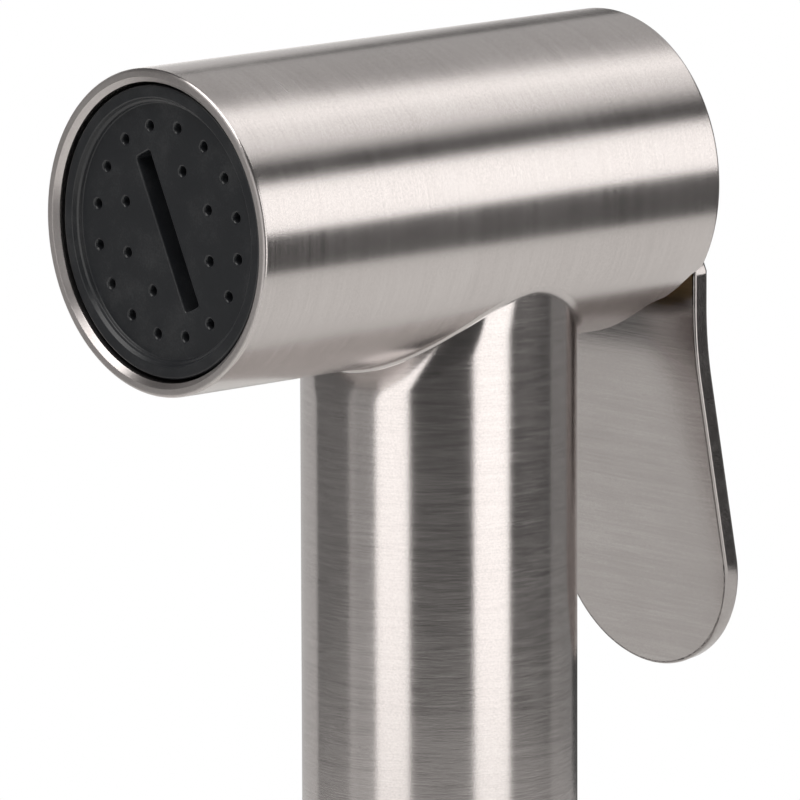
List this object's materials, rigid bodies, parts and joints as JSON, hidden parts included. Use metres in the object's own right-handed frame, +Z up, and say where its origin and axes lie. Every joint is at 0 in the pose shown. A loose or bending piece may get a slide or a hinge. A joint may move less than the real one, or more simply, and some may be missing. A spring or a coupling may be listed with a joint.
{
  "type": "hand sprayer head",
  "caption": "Brushed steel hand sprayer: a short head tube with a black spray face on a tube handle, a thumb lever behind it and a threaded hose inlet below.",
  "frame": {"origin": "on the handle's axis, in the shoulder above the inlet thread that the hose nut comes up to", "axes": "+Z up along the handle towards the head, -Y the way the water sprays, +Y towards the thumb lever, +X the sprayer's side"},
  "size_m": [0.028, 0.0598, 0.1355],
  "materials": {
    "brushed_head_steel": "satin nickel tone, brushed round the tube",
    "brushed_handle_steel": "satin nickel tone, brushed round the tube",
    "ground_weld": "weld ground flush and brushed",
    "brushed_lever_steel": "satin, brushed across the plate",
    "turned_steel": "turned, with a cut thread",
    "plain_steel": "plain drawn steel",
    "valve_brass": "turned brass",
    "black_plastic": "moulded, satin black",
    "filter_plastic": "moulded, natural white",
    "seal_rubber": "moulded rubber"
  },
  "bodies": {
    "sprayer": {"head_tube": "brushed_head_steel", "handle_tube": "brushed_handle_steel", "neck_weld": "ground_weld", "bore_collar": "plain_steel", "inlet_nipple": "turned_steel", "nipple_o_ring": "seal_rubber", "inlet_filter_ring": "filter_plastic", "inlet_filter_mesh": "plain_steel", "spray_face": "black_plastic", "spray_face_seal": "seal_rubber", "valve_body": "valve_brass", "body_front_o_ring": "seal_rubber", "body_rear_o_ring": "seal_rubber", "gland_nut": "valve_brass", "gland_washer": "seal_rubber", "stem_o_ring": "seal_rubber", "return_spring": "plain_steel", "pivot_pin": "plain_steel", "lever_carrier": "valve_brass"},
    "thumb_lever": {"lever": "brushed_lever_steel"},
    "valve_spindle": {"valve_stem": "plain_steel", "poppet_washer": "seal_rubber", "washer_screw": "plain_steel", "pull_pin": "plain_steel"}
  },
  "joints": [
    {"name": "lever_press", "type": "hinge", "parent": "sprayer", "child": "thumb_lever", "pos_m": [0, 0.0176, 0.1058], "axis": [-1, 0, 0], "range_deg": [0, 12], "stiffness_Nm_per_rad": 0.5, "springref_deg": -11.46},
    {"name": "spindle_pull", "type": "slide", "parent": "sprayer", "child": "valve_spindle", "axis": [0, 1, 0], "range_m": [0, 0.00132], "deforming": ["return_spring"]}
  ],
  "couplings": [
    {"joint": "spindle_pull", "follows": "lever_press", "m_per_rad": 0.0062}
  ]
}
